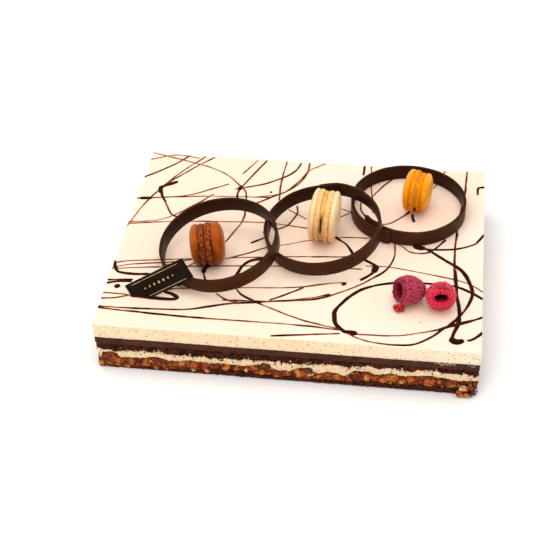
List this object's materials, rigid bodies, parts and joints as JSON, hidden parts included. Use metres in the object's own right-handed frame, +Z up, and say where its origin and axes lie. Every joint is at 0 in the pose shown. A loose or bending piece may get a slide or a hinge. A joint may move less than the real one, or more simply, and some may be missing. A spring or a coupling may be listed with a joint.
{
  "type": "opera cake",
  "caption": "Rectangular layered opera cake topped with overlapping chocolate rings, upright macarons, raspberries and a small chocolate plaque.",
  "frame": {"origin": "centre of the cake's flat underside", "axes": "+Z up through the layers, +X along the longer side of the cake, +Y away from the front face, which is the long cut side nearest the raspberries and the plaque"},
  "size_m": [0.25, 0.1981, 0.0747],
  "materials": {
    "biscuit": "dark, coarse, dry chocolate biscuit crumb",
    "praline": "caramelised chopped nuts set in brown praline, sticky and half glossy",
    "cream": "torn edge of pale vanilla cream with dark specks",
    "sponge": "dark red-brown chocolate sponge with open crumb and a ragged lower edge",
    "ganache": "smooth cut dark ganache with faint knife lines",
    "mousse": "ivory vanilla mousse, softly glazed on top and speckled on its cut sides",
    "chocolate": "tempered dark chocolate strip with a soft sheen",
    "macaron_brown": "smooth caramel-brown macaron shell with a darker porous foot",
    "macaron_cream": "smooth pale cream macaron shell with a tan porous foot",
    "macaron_orange": "smooth bright orange macaron shell with a deeper porous foot",
    "filling_brown": "dark brown filling",
    "filling_cream": "caramel filling",
    "filling_orange": "orange-brown filling",
    "raspberry": "raspberry skin of many drupelets with a velvety bloom",
    "drupelets": "wet bright red drupelets",
    "plaque": "flat black-brown chocolate plaque, smooth and half glossy",
    "nuts": "clump of caramelised nut pieces, glossy where the caramel ran"
  },
  "bodies": {
    "root": {"base_biscuit": "biscuit", "praline_layer": "praline", "cream_layer": "cream", "chocolate_sponge": "sponge", "ganache_layer": "ganache", "vanilla_mousse": "mousse", "ring_left": "chocolate", "ring_middle": "chocolate", "ring_right": "chocolate", "macaron_brown_left_shell": "macaron_brown", "macaron_brown_right_shell": "macaron_brown", "macaron_brown_filling": "filling_brown", "macaron_cream_left_shell": "macaron_cream", "macaron_cream_right_shell": "macaron_cream", "macaron_cream_filling": "filling_cream", "macaron_orange_left_shell": "macaron_orange", "macaron_orange_right_shell": "macaron_orange", "macaron_orange_filling": "filling_orange", "raspberry_left": "raspberry", "raspberry_right": "raspberry", "raspberry_cluster": "drupelets", "plaque": "plaque", "nut_clump": "nuts"}
  },
  "joints": []
}
